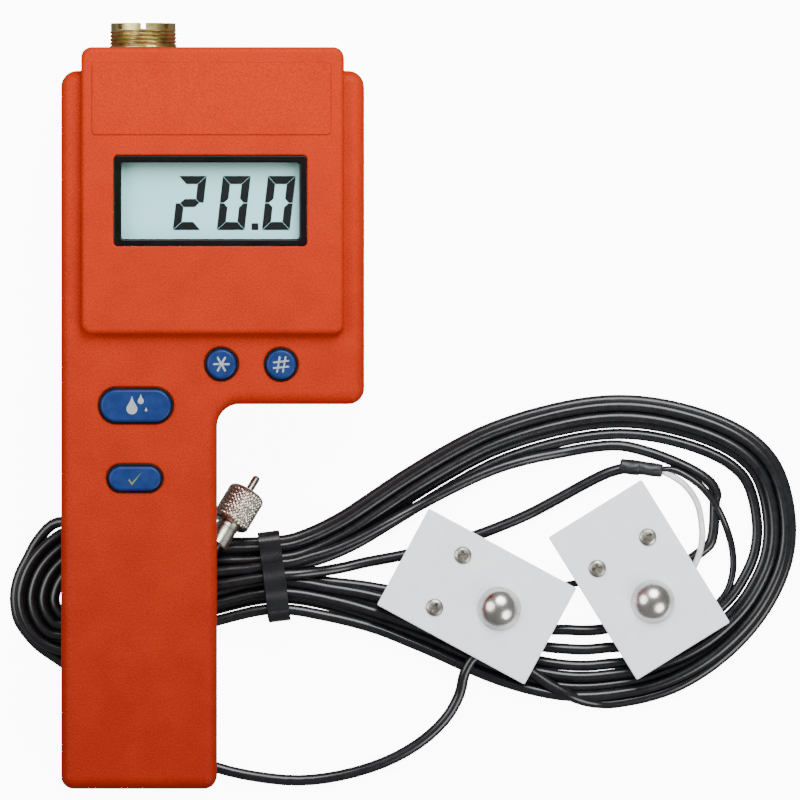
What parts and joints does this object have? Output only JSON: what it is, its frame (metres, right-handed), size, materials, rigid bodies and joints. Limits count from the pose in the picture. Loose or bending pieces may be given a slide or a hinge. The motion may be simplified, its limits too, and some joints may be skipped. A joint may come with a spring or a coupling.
{
  "type": "moisture meter",
  "caption": "Hand-held pistol-shaped moisture meter with a display, keys and a coax socket, and its coiled sensor lead with a plug and contact pads.",
  "frame": {"origin": "middle of the meter's box, on the surface that its back lies on", "axes": "+Y from the handle to the socket, +Z out of the display, +X to the right of the display"},
  "size_m": [0.223, 0.216, 0.0415],
  "materials": {
    "case_front": "textured moulded ABS, orange",
    "case_rear": "textured moulded ABS, orange",
    "steel": "polished steel",
    "bezel": "black frame",
    "window": "clear acrylic",
    "lcd": "reflective LCD with dark digits",
    "seal": "black silicone",
    "board": "green solder mask",
    "chips": "black moulded packages",
    "key": "blue moulded keys with pale symbols",
    "brass": "machined brass",
    "insulator": "white PTFE",
    "contact": "gold-plated brass",
    "wire_red": "PVC insulation",
    "battery": "plain steel can",
    "nickel": "nickel plate",
    "cable": "black PVC jacket",
    "strap": "black soft plastic",
    "wire_white": "white PVC insulation",
    "pad": "white polyethylene sheet"
  },
  "bodies": {
    "meter": {"front_shell": "case_front", "rear_shell": "case_rear", "case_screws": "steel", "lcd_bezel": "bezel", "lcd_lens": "window", "lcd_panel": "lcd", "lcd_strips": "seal", "circuit_board": "board", "board_parts": "chips", "key_switches": "chips", "key_seals": "seal", "socket_body": "brass", "socket_insulator": "insulator", "socket_contact": "contact", "socket_wire": "wire_red", "battery": "battery", "battery_snap": "chips", "battery_wires": "wire_red", "plug_body": "nickel", "plug_insulator": "insulator", "plug_pin": "nickel", "lead_start": "cable", "lead_coil": "cable", "lead_loop": "cable", "lead_end": "cable", "cable_strap": "strap", "splice_sleeve": "strap", "wire_black": "cable", "wire_white": "wire_white", "left_pad": "pad", "right_pad": "pad", "contact_domes": "steel", "dome_nuts": "steel", "pad_screws": "steel", "terminal_plates": "brass"},
    "drop_key": {"drop_key": "key"},
    "tick_key": {"tick_key": "key"},
    "star_key": {"star_key": "key"},
    "hash_key": {"hash_key": "key"},
    "battery_door": {"battery_door": "case_rear"},
    "plug_ring": {"plug_ring": "nickel"}
  },
  "joints": [
    {"name": "drop_key_press", "type": "slide", "parent": "meter", "child": "drop_key", "axis": [0, 0, -1], "range_m": [0, 0.0008], "stiffness_N_per_m": 900},
    {"name": "tick_key_press", "type": "slide", "parent": "meter", "child": "tick_key", "axis": [0, 0, -1], "range_m": [0, 0.0008], "stiffness_N_per_m": 900},
    {"name": "star_key_press", "type": "slide", "parent": "meter", "child": "star_key", "axis": [0, 0, -1], "range_m": [0, 0.0008], "stiffness_N_per_m": 900},
    {"name": "hash_key_press", "type": "slide", "parent": "meter", "child": "hash_key", "axis": [0, 0, -1], "range_m": [0, 0.0008], "stiffness_N_per_m": 900},
    {"name": "door_slide", "type": "slide", "parent": "meter", "child": "battery_door", "axis": [0, -1, 0], "range_m": [0, 0.06]},
    {"name": "ring_spin", "type": "hinge", "parent": "meter", "child": "plug_ring", "pos_m": [0.00706, -0.029, 0.0068], "axis": [0.4997, 0.8317, -0.2419], "continuous": true}
  ]
}
